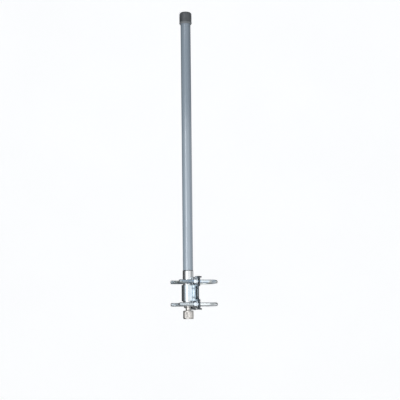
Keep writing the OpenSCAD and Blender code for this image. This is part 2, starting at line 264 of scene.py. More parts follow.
def mat_cap():
    """Dark grained vinyl, dusty, with a painted highlight that makes the bead at the bottom
    paler.
    """
    mat = Material("cap_vinyl")
    grain = mat.noise(scale=1500, detail=4, rough=0.65)
    cloud = mat.noise(scale=90, rough=0.5)
    dust = mat.noise(scale=420, detail=4, rough=0.7)
    color = mat.mix(under=(0.058, 0.065, 0.072), over=(0.108, 0.116, 0.124),
                    amount=mat.remap(cloud))
    color = mat.mix(under=color, over=(0.19, 0.20, 0.21),
                    amount=mat.remap(dust, to=(0, 0.35), span=(0.60, 0.80)))
    # painted highlight: the bead at the bottom is made paler to stand in for the pale floor's
    # reflection on its underside
    lip_painted_highlight = mat.remap(mat.xyz()[2], to=(0.75, 0), span=((CAP_Z0 + 3.2) * MM, (CAP_Z0 + 4.2) * MM))
    color = mat.mix(under=color, over=(0.20, 0.212, 0.222), amount=lip_painted_highlight)
    color = mat.mix(under=color, over=(0.26, 0.27, 0.28),
                    amount=mat.math("MULTIPLY", mat.edge_wear(span=(0.53, 0.60)), 0.35))
    return mat.put(
        Base_Color=color, Roughness=mat.remap(grain, to=(0.42, 0.56)), Specular_IOR_Level=0.55,
        Normal=mat.bump(grain, distance=0.00006))


def mat_rubber(name, color, rough):
    mat = Material(name)
    grain = mat.noise(scale=1100, detail=4, rough=0.6)
    blotch = mat.noise(scale=160, detail=2, rough=0.5)
    return mat.put(
        Base_Color=mat.mix(under=color, over=tuple(c * 1.45 + 0.004 for c in color),
                           amount=mat.remap(blotch)),
        Roughness=mat.remap(grain, to=(rough - 0.08, rough + 0.1)),
        Normal=mat.bump(grain, distance=0.00005))


def mat_polished():
    """Polished, lathe-turned aluminium: fine rings round the Z axis over a bright finish."""
    mat = Material("polished_aluminium")
    rings = mat.noise(stretch=(20, 20, 9000), rough=0.6)
    wide = mat.noise(stretch=(30, 30, 700))
    smear = mat.noise(stretch=(120, 120, 60), rough=0.6)
    scratch = mat.noise(stretch=(500, 500, 45), detail=4, rough=0.75, distortion=0.4)
    color = mat.mix(under=(0.60, 0.605, 0.615), over=(0.68, 0.685, 0.69),
                    amount=mat.remap(wide))
    color = mat.mix(under=color, over=(0.50, 0.51, 0.53),
                    amount=mat.remap(scratch, to=(0, 0.3), span=(0.66, 0.76)))
    rough = mat.math("ADD", mat.remap(rings, to=(0.13, 0.21)),
                     mat.remap(smear, to=(0, 0.10), span=(0.4, 0.75)))
    normal = mat.bump(rings, distance=0.000004)
    return mat.put(
        Base_Color=color, Metallic=1.0, Roughness=rough, Anisotropic=0.45,
        Normal=mat.bump(wide, distance=0.000006, strength=0.35, over=normal))


def mat_turned(name, dark, light, rough, ring_scale=6000):
    """Lathe-turned metal with rings round the Z axis and brighter edges."""
    mat = Material(name)
    rings = mat.noise(stretch=(25, 25, ring_scale), rough=0.6)
    blotch = mat.noise(scale=260, detail=4, rough=0.6)
    color = mat.mix(under=dark, over=light, amount=mat.remap(blotch))
    color = mat.mix(under=color, over=brighter(light, 1.18),
                    amount=mat.math("MULTIPLY", mat.edge_wear(), 0.5))
    return mat.put(
        Base_Color=color, Metallic=1.0,
        Roughness=mat.math("ADD", mat.remap(rings, to=rough),
                           mat.remap(blotch, to=(0, 0.06), span=(0.4, 0.7))),
        Normal=mat.bump(rings, distance=0.000005, strength=0.45))


def bolt_film_and_groove_shade(mat, color, film, lower_film):
    """Film strength for each bolt, and the colour with painted shade in the thread grooves."""
    x, y, z = mat.xyz()
    upper_half = (-0.01, 0.01)         # metres in z, from the lower bolt to the upper
    # the two bolts come from different batches: the upper one has the bluer passivation
    amount = mat.remap(z, to=(lower_film, film), span=upper_half)
    off_y = mat.math("SUBTRACT", mat.math("ABSOLUTE", y), LEG_Y * MM)
    off_z = mat.math("SUBTRACT", mat.math("ABSOLUTE", z), BOLT_Z * MM)
    radius = mat.math("SQRT", mat.math("ADD", mat.math("MULTIPLY", off_y, off_y),
                                       mat.math("MULTIPLY", off_z, off_z)))
    # painted shade: the thread grooves on the legs are darkened where shade falls, more on the
    # upper bolt than on the lower
    groove_shade = mat.remap(radius, to=(1, 0), span=((ROD_R - 0.62) * MM, (ROD_R - 0.10) * MM))
    groove_shade = mat.math("MULTIPLY", groove_shade, mat.remap(z, to=(0.12, 0.30), span=upper_half))
    # only the legs, on the -X side of x = -25 mm
    groove_shade = mat.math("MULTIPLY", groove_shade, mat.remap(x, to=(1, 0), span=(-0.0255, -0.0245)))
    return amount, mat.mix(under=color, over=(0.10, 0.17, 0.22), amount=groove_shade)


def mat_zinc(name, dark, light, rough, grain=(1, 1, 1), grain_scale=500.0, film=0.35,
             lower_film=None):
    """Bright zinc plate: crystal mottle, faint blue and straw passivation, soft scratches.

    film is the passivation's strength; lower_film, if given, is the lower bolt's, and also adds
    painted shade in the bolts' thread grooves.
    """
    mat = Material(name)
    cells = mat.voronoi(scale=900.0)
    separate = mat.add("ShaderNodeSeparateColor")
    mat.feed(separate.inputs[0], cells["Color"])
    spangle = separate.outputs[0]
    cloud = mat.noise(scale=130, detail=4, rough=0.6)
    hue = mat.noise(scale=60, shift=(0.31, 0.12, 0.7))
    lines = mat.noise(stretch=grain, scale=grain_scale, detail=4, rough=0.7)
    color = mat.mix(under=dark, over=light, amount=mat.remap(cloud))
    color = mat.mix(under=color, over=brighter(dark, 0.72),
                    amount=mat.math("MULTIPLY", spangle, 0.05))
    film_color = mat.ramp(hue, [
        (0.30, (0.60, 0.72, 0.86)), (0.48, (0.80, 0.84, 0.88)),
        (0.60, (0.86, 0.84, 0.78)), (0.74, (0.64, 0.76, 0.86))])
    if lower_film is not None:
        # the colour comes back with painted shade in the thread grooves
        film, color = bolt_film_and_groove_shade(mat, color, film, lower_film)
    color = mat.mix(under=color, over=film_color, amount=film, mode="MULTIPLY")
    dull = mat.noise(scale=330, detail=5, rough=0.7, shift=(0.9, 0.4, 0.2))
    color = mat.mix(under=color, over=(0.36, 0.39, 0.42),
                    amount=mat.remap(dull, to=(0, 0.25), span=(0.60, 0.74)))
    color = mat.mix(under=color, over=(0.90, 0.91, 0.92),
                    amount=mat.math("MULTIPLY", mat.edge_wear(span=(0.54, 0.64)), 0.45))
    roughness = mat.math("ADD", mat.remap(cloud, to=rough), mat.math("MULTIPLY", spangle, 0.03))
    roughness = mat.math("ADD", roughness, mat.remap(dull, to=(0, 0.10), span=(0.55, 0.75)))
    return mat.put(Base_Color=color, Metallic=1.0, Roughness=roughness,
                   Normal=mat.bump(lines, distance=0.000006, strength=0.4))


def mat_plain(name, dark, light, rough, scale, metallic=0.0, bump=0.00003,
              stretch=(1, 1, 1), **extra):
    mat = Material(name)
    grain = mat.noise(stretch=stretch, scale=scale, detail=4, rough=0.6)
    cloud = mat.noise(scale=scale * 0.2, rough=0.5)
    color = mat.mix(under=dark, over=light, amount=mat.remap(grain, to=(0, 0.8)))
    color = mat.mix(under=color, over=brighter(dark, 0.8),
                    amount=mat.remap(cloud, to=(0, 0.3), span=(0.35, 0.75)))
    return mat.put(
        Base_Color=color, Metallic=metallic,
        Roughness=mat.remap(grain, to=(rough - 0.06, rough + 0.08)),
        Normal=mat.bump(grain, distance=bump), **extra)


def mat_foam():
    mat = Material("closed_cell_foam")
    cells = mat.voronoi(scale=1400.0)["Distance"]
    cloud = mat.noise(scale=200, rough=0.5)
    color = mat.mix(under=(0.62, 0.59, 0.50), over=(0.86, 0.84, 0.76),
                    amount=mat.remap(cells, span=(0.1, 0.6)))
    color = mat.mix(under=color, over=(0.78, 0.74, 0.62), amount=mat.remap(cloud, to=(0, 0.4)))
    return mat.put(Base_Color=color, Roughness=0.85,
                   Normal=mat.bump(cells, distance=0.00025, strength=0.6))


DRAWN = dict(rough=0.3, scale=700, metallic=1.0, bump=0.00001, stretch=(1, 1, 0.03))
MATS = {
    "cap": mat_cap(),
    "radome": mat_radome(),
    "seal_rubber": mat_rubber("seal_rubber", color=(0.022, 0.023, 0.026), rough=0.5),
    "polished_aluminium": mat_polished(),
    "turned_aluminium": mat_turned(
        "turned_aluminium", dark=(0.60, 0.61, 0.62), light=(0.74, 0.75, 0.76),
        rough=(0.26, 0.38)),
    "nickel": mat_turned(
        "satin_nickel", dark=(0.59, 0.56, 0.535), light=(0.68, 0.65, 0.62),
        rough=(0.34, 0.42), ring_scale=5000),
    "ptfe": mat_plain(
        "ptfe", dark=(0.86, 0.86, 0.83), light=(0.93, 0.93, 0.91), rough=0.42, scale=500,
        Subsurface_Weight=0.15),
    "gold_brass": mat_turned(
        "gold_flash", dark=(0.80, 0.58, 0.22), light=(0.93, 0.72, 0.34), rough=(0.16, 0.26)),
    "gasket_rubber": mat_rubber("gasket_silicone", color=(0.36, 0.085, 0.045), rough=0.52),
    "spring_steel": mat_zinc(
        "zinc_spring", dark=(0.36, 0.39, 0.42), light=(0.50, 0.53, 0.56), rough=(0.24, 0.34)),
    "foam": mat_foam(),
    "brass": mat_plain("drawn_brass", dark=(0.66, 0.46, 0.16), light=(0.80, 0.60, 0.27), **DRAWN),
    "copper": mat_plain("drawn_copper", dark=(0.62, 0.30, 0.16), light=(0.80, 0.45, 0.28),
                        **DRAWN),
    "zinc_plate": mat_zinc(
        "zinc_plate", dark=(0.54, 0.60, 0.64), light=(0.62, 0.67, 0.71), rough=(0.13, 0.19),
        grain=(1, 1, 0.08), grain_scale=1500),
    "zinc_bolt": mat_zinc(
        "zinc_bolt", dark=(0.82, 0.86, 0.89), light=(0.92, 0.945, 0.96), rough=(0.17, 0.26),
        grain=(0.08, 1, 1), grain_scale=1500, film=0.95, lower_film=0.05),
    "zinc_nut": mat_zinc(
        "zinc_nut", dark=(0.66, 0.70, 0.73), light=(0.80, 0.83, 0.86), rough=(0.16, 0.24)),
    # sheared edges: duller zinc, painted near-black as painted shade
    "cut_edge": mat_zinc(
        "zinc_cut_edge_painted_shade", dark=(0.070, 0.077, 0.085), light=(0.12, 0.13, 0.14),
        rough=(0.34, 0.46), grain_scale=900, film=0.2),
}


# ---------------------------------------------------------------- mesh helpers
def make(name, points, faces, slot, body, replaces=None, sharp=30, merge=0.0):
    """Smooth mesh with outward normals; edges over sharp degrees stay sharp."""
    mesh = bpy.data.meshes.new(name)
    mesh.from_pydata([tuple(p) for p in np.asarray(points, float) * MM], [],
                     [tuple(int(i) for i in f) for f in faces])
    bm = bmesh.new()
    bm.from_mesh(mesh)
    if merge:
        bmesh.ops.remove_doubles(bm, verts=bm.verts, dist=merge * MM)
        bmesh.ops.dissolve_degenerate(bm, edges=bm.edges, dist=1e-7)
    bmesh.ops.recalc_face_normals(bm, faces=bm.faces)
    bm.to_mesh(mesh)
    bm.free()
    for polygon in mesh.polygons:
        polygon.use_smooth = True
    mesh.set_sharp_from_angle(angle=math.radians(sharp))
    mesh.materials.append(MATS[slot])
    obj = bpy.data.objects.new(name, mesh)
    scene.collection.objects.link(obj)
    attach(obj, body)
    if replaces:
        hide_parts(replaces)
    return obj


def fillet(path, closed=True, step=0.35):
    """Rounds each corner of a 2D path of (x, y, radius); an open path keeps its end points."""
    out = []
    count = len(path)
    for i, (x, y, radius) in enumerate(path):
        corner = np.array([x, y], float)
        if (not closed and i in (0, count - 1)) or radius <= 0:
            out.append(corner)
            continue
        before = np.array(path[i - 1][:2], float) - corner
        after = np.array(path[(i + 1) % count][:2], float) - corner
        before_len, after_len = np.linalg.norm(before), np.linalg.norm(after)
        before, after = before / before_len, after / after_len
        angle = math.acos(float(np.clip(before @ after, -1, 1)))
        if angle > math.pi - 1e-3:
            out.append(corner)
            continue
        # a radius too large for its sides shrinks to fit
        setback = min(radius / math.tan(angle / 2), before_len * 0.499, after_len * 0.499)
        radius = setback * math.tan(angle / 2)
        bisector = (before + after) / np.linalg.norm(before + after)
        centre = corner + bisector * (radius / math.sin(angle / 2))
        start = math.atan2(*(corner + before * setback - centre)[::-1])
        end = math.atan2(*(corner + after * setback - centre)[::-1])
        sweep = (end - start + math.pi) % TAU - math.pi
        steps = max(3, int(abs(sweep) * radius / step) + 1,
                    int(abs(sweep) / math.radians(14)) + 1)
        for j in range(steps + 1):
            turn = start + sweep * j / steps
            out.append(centre + radius * np.array([math.cos(turn), math.sin(turn)]))
    return np.array(out)


def turns(count):
    return np.arange(count) * TAU / count


def ring(turn, radius, z):
    """Points about the local Z axis; radius and z may vary round it."""
    return np.stack(np.broadcast_arrays(radius * np.cos(turn), radius * np.sin(turn), z), 1)


def ring_faces(rings, count, closed):
    """Quads between rings of count points; closed joins the last ring to the first."""
    faces = []
    for i in range(rings if closed else rings - 1):
        a, b = i * count, ((i + 1) % rings) * count
        for j in range(count):
            k = (j + 1) % count
            faces.append((a + j, a + k, b + k, b + j))
    return faces


def end_fans(rings, count):
    """Triangles from two hub points, stored after the rings, to the first and last ring."""
    hub, last = rings * count, (rings - 1) * count
    faces = []
    for j in range(count):
        k = (j + 1) % count
        faces.append((hub, k, j))
        faces.append((hub + 1, last + j, last + k))
    return faces


def upright(points):
    return points + np.array([TUBE_X, 0.0, 0.0])


def along_x(points, y, z):
    """Turns local Z into X and moves the piece to a bolt leg's line."""
    return np.stack([points[:, 2], points[:, 0] + y, points[:, 1] + z], 1)


def lathe(name, profile, slot, body, replaces=None, count=128, place=upright, wobble=None):
    """Turns a closed (radius, z) profile, or a solid when it starts and ends on the axis."""
    profile = np.asarray(profile, float)
    solid = profile[0][0] < 1e-6 and profile[-1][0] < 1e-6
    stations = profile[1:-1] if solid else profile
    points = np.concatenate([ring(turns(count), radius, z) for radius, z in stations])
    if wobble is not None:
        points = wobble(points)
    faces = ring_faces(len(stations), count, closed=not solid)
    if solid:
        points = np.concatenate([points, [[0, 0, profile[0][1]], [0, 0, profile[-1][1]]]])
        faces += end_fans(len(stations), count)
    return make(name, place(points), faces, slot, body, replaces)


# ---------------------------------------------------------------- antenna tube
# Turned outlines below are rows of (radius, z, corner radius).
def end_cap():
    inside_path = [[0.0, RADOME_Z1 + 0.05], [CAP_BORE_R - 0.4, RADOME_Z1 + 0.05],
                   [CAP_BORE_R, RADOME_Z1 - 0.35]]
    top_z = CAP_Z1 - 0.35              # floor of the shallow dish in the top
    outside_path = fillet([
        (CAP_BORE_R, CAP_Z0 + 0.4, 0.25),
        (CAP_BORE_R + 0.3, CAP_Z0, 0.2),
        (CAP_BEAD_R - 1.5, CAP_Z0, 0.5),
        (CAP_BEAD_R, CAP_Z0 + 1.7, 0.6),
        (CAP_BEAD_R, CAP_Z0 + 3.3, 0.5),
        (CAP_R - 0.14, CAP_Z0 + 3.9, 0.4),
        (CAP_R - 0.02, CAP_Z1 - 12, 0),
        (CAP_R - 0.25, CAP_Z1, 3.9),
        (4.6, CAP_Z1, 0.5),
        (4.1, top_z, 0.4)], closed=False, step=0.3)
    lathe("end_cap_moulding", np.concatenate([inside_path, outside_path, [[0.0, top_z]]]),
          "cap", "antenna", "end_cap", count=144)


def radome():
    lathe("radome_shell", fillet([
        (RADOME_BORE_R, RADOME_Z0, 0.2), (SPIGOT_R, RADOME_Z0, 0.5), (SPIGOT_R, SEAL_Z1, 0),
        (RADOME_R, SEAL_Z1, 0.25), (RADOME_R, RADOME_Z1, 0.5), (RADOME_BORE_R, RADOME_Z1, 0.3)]),
        "radome", "antenna", "radome_tube", count=160)


def seal_wobble(points):
    """Slight waves round the outside of the bead."""
    turn = np.arctan2(points[:, 1], points[:, 0])
    outside = np.hypot(points[:, 0], points[:, 1]) > SPIGOT_R + 0.5
    scale = (1 + 0.0035 * np.sin(3 * turn + 0.6) * outside
             + 0.0025 * np.sin(11 * turn) * outside)
    return points * np.stack([scale, scale, np.ones_like(scale)], 1)


def joint_seal():
    inner_r, outer_r = SPIGOT_R + 0.02, SEAL_R - 0.12
    lathe("joint_seal_bead", fillet([
        (inner_r, SEAL_Z0, 0.1), (outer_r, SEAL_Z0, 0.45),
        (outer_r, SEAL_Z1, 0.45), (inner_r, SEAL_Z1, 0.1)], step=0.08),
        "seal_rubber", "antenna", "joint_seal", wobble=seal_wobble)


def base_sleeve():
    lathe("base_sleeve_turned", fillet([
        (SLEEVE_BORE_R, SLEEVE_Z0 + 0.5, 0.1),
        (SLEEVE_BORE_R + 0.5, SLEEVE_Z0, 0.1),
        (SLEEVE_R - 0.6, SLEEVE_Z0, 0.15),
        (SLEEVE_R, SLEEVE_Z0 + 0.6, 0.3),
        (SLEEVE_R, SLEEVE_Z1 - 0.55, 0.3),
        (SLEEVE_R - 0.55, SLEEVE_Z1, 0.15),
        (SLEEVE_BORE_R, SLEEVE_Z1, 0.1)], step=0.15),
        "polished_aluminium", "antenna", "base_sleeve", count=160)


# ---------------------------------------------------------------- connector
def connector_body():
    bore_r, socket_r, barrel_r, flange_r = 1.85, 3.5, 4.0, 7.1
    profile = fillet([
        (0.0, CONN_Z1, 0), (bore_r, CONN_Z1, 0.15), (bore_r, CONN_Z1 - 4.5, 0.1),
        (socket_r, CONN_Z1 - 4.5, 0.1), (socket_r, CONN_Z0, 0.12),
        (barrel_r, CONN_Z0, 0.15), (barrel_r, FLANGE_Z - 1.9, 0.1),
        (flange_r, FLANGE_Z - 1.9, 0.2), (flange_r, FLANGE_Z + 1, 0.2),
        (NECK_R, FLANGE_Z + 1, 0.1), (NECK_R, GROOVE_Z0, 0.08),
        (NECK_R - 0.6, GROOVE_Z0, 0.05), (NECK_R - 0.6, GROOVE_Z1, 0.05),
        (NECK_R, GROOVE_Z1, 0.08), (NECK_R, COUPLING_Z1 + 1.1, 0.12),
        (NECK_R - 0.35, COUPLING_Z1 + 1.35, 0.15), (NECK_R - 0.35, COUPLING_Z1 + 2.0, 0.15),
        (NECK_R, COUPLING_Z1 + 2.25, 0.12), (NECK_R, SLEEVE_Z0 - 1.5, 0.12),
        (NECK_R - 0.3, SLEEVE_Z0 - 1.2, 0.12), (NECK_R - 0.3, SLEEVE_Z0 - 0.1, 0.1),
        (NECK_R, SLEEVE_Z0 + 0.2, 0.1), (NECK_R, CONN_Z1, 0.5)], closed=False, step=0.12)
    # the first point only sets the direction of the first corner; the bore stays open
    lathe("connector_body_turned", profile[1:], "nickel", "antenna", "connector_body", count=112)


def coupling_nut():
    """Turned nut with a straight knurl of rounded ribs, chamfers, and a thread in its mouth."""
    ribs, per_rib = 48, 6
    count = ribs * per_rib
    turn = turns(count)
    crest = 0.5 - 0.5 * np.cos(TAU * ((np.arange(count) % per_rib) / per_rib))
    knurl_depth = 0.26
    knurl_z0, knurl_z1 = COUPLING_Z0 + 2.3, COUPLING_Z1 - 2.6
    land_r = COUPLING_R - 0.12
    bore_r, groove_r = NECK_R + 0.1, NECK_R + 0.75
    thread_r, thread_depth = 7.5, 0.55
    rings = []

    def add(radius, z, knurl=0.0):
        rings.append(ring(turn, radius - knurl_depth * knurl * (1 - crest), z))

    def add_path(path, skip=0):
        for radius, z in fillet(path, closed=False, step=0.12)[skip:]:
            add(radius, z)

    add_path([(6.7, COUPLING_Z0, 0), (COUPLING_R - 1.15, COUPLING_Z0, 0.25),
              (COUPLING_R - 0.45, COUPLING_Z0 + 0.55, 0.4), (land_r, COUPLING_Z0 + 1.5, 0.4),
              (land_r, knurl_z0 - 0.45, 0)], skip=1)
    for t in np.linspace(0, 1, 6):
        add(COUPLING_R - 0.10 + 0.10 * t, knurl_z0 - 0.3 + 0.9 * t, t ** 0.6)
    for z in np.linspace(knurl_z0 + 0.9, knurl_z1 - 0.9, 6):
        add(COUPLING_R, z, 1.0)
    for t in np.linspace(0, 1, 6):
        add(COUPLING_R - 0.10 * t, knurl_z1 - 0.6 + 0.9 * t, (1 - t) ** 0.6)
    # upper land, top face, then down the bore with its groove to the thread
    add_path([(land_r, knurl_z1 + 0.45, 0), (land_r, COUPLING_Z1 - 1.15, 0.3),
              (COUPLING_R - 1.1, COUPLING_Z1, 0.35), (NECK_R + 0.45, COUPLING_Z1, 0.12),
              (bore_r, COUPLING_Z1 - 0.35, 0.1), (bore_r, GROOVE_Z1, 0.06),
              (groove_r, GROOVE_Z1, 0.06), (groove_r, GROOVE_Z0, 0.06),
              (bore_r, GROOVE_Z0, 0.06), (bore_r, FLANGE_Z + 1.1, 0.1),
              (7.4, FLANGE_Z + 1.1, 0.2), (7.55, FLANGE_Z - 2.2, 0)])
    # 24 threads to the inch, cut as a helix: each ring is sheared by one pitch round the circle
    pitch = 25.4 / 24
    thread_z0, thread_z1 = COUPLING_Z0 + 0.75, FLANGE_Z - 2.6
    start = thread_z1 + pitch
    while start > thread_z0 - pitch:
        # (part of the pitch, part of the depth)
        for part, depth in ((0.0, 0.0), (0.12, 0.0), (0.44, 1.0), (0.56, 1.0)):
            z = start - part * pitch - turn / TAU * pitch
            fade = (np.clip((thread_z1 - z) / (1.2 * pitch), 0, 1)
                    * np.clip((z - thread_z0) / (0.6 * pitch), 0, 1))
            rings.append(ring(turn, thread_r - thread_depth * depth * fade,
                              np.clip(z, thread_z0, thread_z1)))
        start -= pitch
    add_path([(thread_r, COUPLING_Z0 + 0.7, 0), (8.15, COUPLING_Z0, 0.15), (8.6, COUPLING_Z0, 0)])
    make("coupling_nut_knurled", upright(np.concatenate(rings)),
         ring_faces(len(rings), count, closed=True), "nickel", "coupling_nut", "coupling_nut",
         sharp=28, merge=0.002)


end_cap()
radome()
joint_seal()
base_sleeve()
connector_body()
coupling_nut()


# ---------------------------------------------------------------- sheet-metal helpers
def densify(loop, step):
    out = []
    for a, b in zip(loop, np.roll(loop, -1, 0)):
        parts = max(1, int(math.ceil(np.linalg.norm(b - a) / step)))
        out += [a + (b - a) * j / parts for j in range(parts)]
    return np.array(out)


def four_fold(quarter):
    """Closed outline from its first-quadrant path, which runs from the +u to the +v axis."""
    loop = np.concatenate([quarter, (quarter * [-1, 1])[::-1], quarter * [-1, -1],
                           (quarter * [1, -1])[::-1]])
    kept = [loop[0]]
    for point in loop[1:]:
        if np.linalg.norm(point - kept[-1]) > 1e-4:
            kept.append(point)
    if np.linalg.norm(kept[0] - kept[-1]) < 1e-4:
        kept.pop()
    return np.array(kept)


def unit(vectors):
    return vectors / (np.linalg.norm(vectors, axis=1)[:, None] + 1e-12)


def offset_in(loop, distance):
    """Moves a counter-clockwise loop inwards."""
    before = unit(loop - np.roll(loop, 1, 0))
    after = unit(np.roll(loop, -1, 0) - loop)
    normal_before = np.stack([-before[:, 1], before[:, 0]], 1)
    normal_after = np.stack([-after[:, 1], after[:, 0]], 1)
    mitre = unit(normal_before + normal_after)
    stretch = np.clip((mitre * normal_before).sum(1), 0.5, 1)[:, None]
    return loop + mitre / stretch * distance


def inside(points, loop):
    x, y = points[:, 0], points[:, 1]
    result = np.zeros(len(points), bool)
    for (x0, y0), (x1, y1) in zip(loop, np.roll(loop, -1, 0)):
        if abs(y1 - y0) < 1e-12:
            continue
        result ^= ((y0 > y) != (y1 > y)) & (x < (x1 - x0) * (y - y0) / (y1 - y0) + x0)
    return result


def far_from(points, loop, distance):
    """Mask of points farther than distance from the loop, worked out in batches."""
    border = densify(loop, distance * 0.7)
    keep = np.ones(len(points), bool)
    for i in range(0, len(points), 2000):
        gap = ((points[i:i + 2000, None, :] - border[None]) ** 2).sum(2).min(1)
        keep[i:i + 2000] = gap > distance * distance
    return keep


def grid(u_span, v_span, u_step, v_step):
    u = np.arange(u_span[0], u_span[1] + 1e-6, u_step)
    v = np.arange(v_span[0], v_span[1] + 1e-6, v_step)
    return np.stack(np.meshgrid(u, v), -1).reshape(-1, 2)


def merged(grids):
    return np.unique(np.round(np.concatenate(grids), 4), axis=0)


def sheet(name, outline, grid_points, thickness, edge_r, form, node, holes=()):
    """Flat blank with rolled edges and round holes (u, v, radius), bent by form(u, v, height)."""
    outline = densify(outline, 0.8)
    clearance = 0.42                   # between grid points and any border
    cut_strips = (2, 7)                # strips of the edge that show the sheared cut
    half = thickness / 2
    # edge profile: (inset, height) rings from the top face round to the bottom face
    rolled = [(edge_r * (1 - math.sin(a)), half - edge_r * (1 - math.cos(a)))
              for a in (math.pi / 2 * j / 4 for j in range(5))]
    profile = rolled + [(inset, -height) for inset, height in rolled[::-1]]
    turn = turns(48)
    circle = np.stack([np.cos(turn), np.sin(turn)], 1)
    borders = [[offset_in(outline, inset) for inset, _ in profile]]
    for u, v, radius in holes:
        borders.append([np.array([u, v]) + (radius + inset) * circle for inset, _ in profile])

    flat, heights, faces, cut_faces, hole_edges = [], [], [], [], []
    top, bottom = [], []               # point numbers of the borders on each face
    base = 0
    for number, rings in enumerate(borders):
        count = len(rings[0])
        wall = ring_faces(len(rings), count, closed=False)
        if number > 0:
            # holes face the other way
            wall = [(b, a, d, c) for a, b, c, d in wall]
            hole_edges += [(len(top) + j, len(top) + (j + 1) % count) for j in range(count)]
        cut_faces += range(len(faces) + cut_strips[0] * count, len(faces) + cut_strips[1] * count)
        faces += [[base + i for i in face] for face in wall]
        top += range(base, base + count)
        base += len(rings) * count
        bottom += range(base - count, base)
        flat += rings
        heights += [np.full(count, height) for _, height in profile]

    rim = borders[0][0]
    points = grid_points[inside(grid_points, rim)]
    points = points[far_from(points, rim, clearance)]
    for u, v, radius in holes:
        gap = np.hypot(points[:, 0] - u, points[:, 1] - v)
        points = points[gap > radius + edge_r + clearance]
    seeds = [Vector(p) for p in np.concatenate([rings[0] for rings in borders] + [points])]
    result = delaunay_2d_cdt(seeds, hole_edges, [list(range(len(rim)))], 1, 1e-5)
    spots = np.array([list(p) for p in result[0]])
    sources = [source[0] if len(source) else -1 for source in result[3]]
    added = [i for i, source in enumerate(sources) if not 0 <= source < len(top)]
    on_top = {i: top[s] for i, s in enumerate(sources) if 0 <= s < len(top)}
    on_bottom = {i: bottom[s] for i, s in enumerate(sources) if 0 <= s < len(top)}
    for k, i in enumerate(added):
        on_top[i], on_bottom[i] = base + k, base + len(added) + k
    flat += [spots[added], spots[added]]
    heights += [np.full(len(added), half), np.full(len(added), -half)]
    for face in result[2]:
        centre = spots[list(face)].mean(0)
        if all(math.hypot(centre[0] - u, centre[1] - v) > radius for u, v, radius in holes):
            faces.append([on_top[i] for i in face])
            faces.append([on_bottom[i] for i in face][::-1])

    flat = np.concatenate(flat)
    obj = make(name, form(flat[:, 0], flat[:, 1], np.concatenate(heights)), faces,
               "zinc_plate", "clamp", node, sharp=40)
    # the sheared edge is duller than the rolled faces, and painted dark as painted shade along
    # the plates' edges
    obj.data.materials.append(MATS["cut_edge"])
    for i in cut_faces:
        obj.data.polygons[i].material_index = 1


def sign(values):
    """Sign with zero counted as positive."""
    return np.sign(values) + (values == 0)


# ---------------------------------------------------------------- clamp strap
# Developed length u from the wrap's apex, height v. Along u: half the wrap, a straight
# length, the bend, the flange.
WRAP_MID_R = (WRAP_OUTER_R + WRAP_INNER_R) / 2
BEND_MID_R = STRAP_BEND_R + STRAP_T / 2
BEND_CX = STRAP_X1 - STRAP_T - STRAP_BEND_R
BEND_CY = WRAP_OUTER_R + STRAP_BEND_R
WRAP_U = math.pi / 2 * WRAP_MID_R
STRAIGHT_U = WRAP_U + (BEND_CX - TUBE_X)
BEND_U = STRAIGHT_U + math.pi / 2 * BEND_MID_R
RIB_U, RIB_V = (STRAIGHT_U + BEND_U) / 2, 9.2
RIB_LEN, RIB_HALF, RIB_HEIGHT = 8.2, 1.9, 1.7     # half length, half width, height


def flange_u(y):
    """Developed length at distance y from the middle plane."""
    return BEND_U + y - BEND_CY


def strap_form(u, v, height):
    side = sign(u)
    a = np.abs(u)
    # the clamp force draws the strap in against the sleeve just before each bend
    ease = np.clip((a - (STRAIGHT_U - 3.0)) / 3.2, 0, 1)
    draw = 1.3 * ease * ease * (3 - 2 * ease)
    # pressed ribs across each bend
    rib_along = np.clip(1 - ((a - RIB_U) / RIB_LEN) ** 2, 0, 1) ** 2
    rib_across = np.zeros_like(v)
    for k in (-1, 1):
        off = np.clip(np.abs(v - k * RIB_V) / RIB_HALF, 0, 1)
        rib_across = np.maximum(rib_across, 0.5 + 0.5 * np.cos(math.pi * off))
    t = height + RIB_HEIGHT * rib_along * rib_across
    zones = [a <= WRAP_U, a <= STRAIGHT_U, a <= BEND_U]
    wrap_turn = a / WRAP_MID_R
    bend_turn = (a - STRAIGHT_U) / BEND_MID_R
    bend_r = BEND_MID_R - t
    x = np.select(zones, [TUBE_X - (WRAP_MID_R + t) * np.cos(wrap_turn), TUBE_X + a - WRAP_U,
                          BEND_CX + bend_r * np.sin(bend_turn)], BEND_CX + BEND_MID_R - t)
    y = np.select(zones, [(WRAP_MID_R + t) * np.sin(wrap_turn), WRAP_MID_R + t,
                          BEND_CY - bend_r * np.cos(bend_turn)], BEND_CY + a - BEND_U)
    fade = np.clip(1 - (a - BEND_U) / 6.0, 0, 1)
    y = y - draw * np.where(a > BEND_U, fade, 1.0)
    return np.stack([x, y * side, v], 1)


def clear_of_ribs(points, reach_u, reach_v):
    near = ((np.abs(np.abs(points[:, 0]) - RIB_U) < reach_u)
            & (np.abs(np.abs(points[:, 1]) - RIB_V) < reach_v))
    return points[~near]


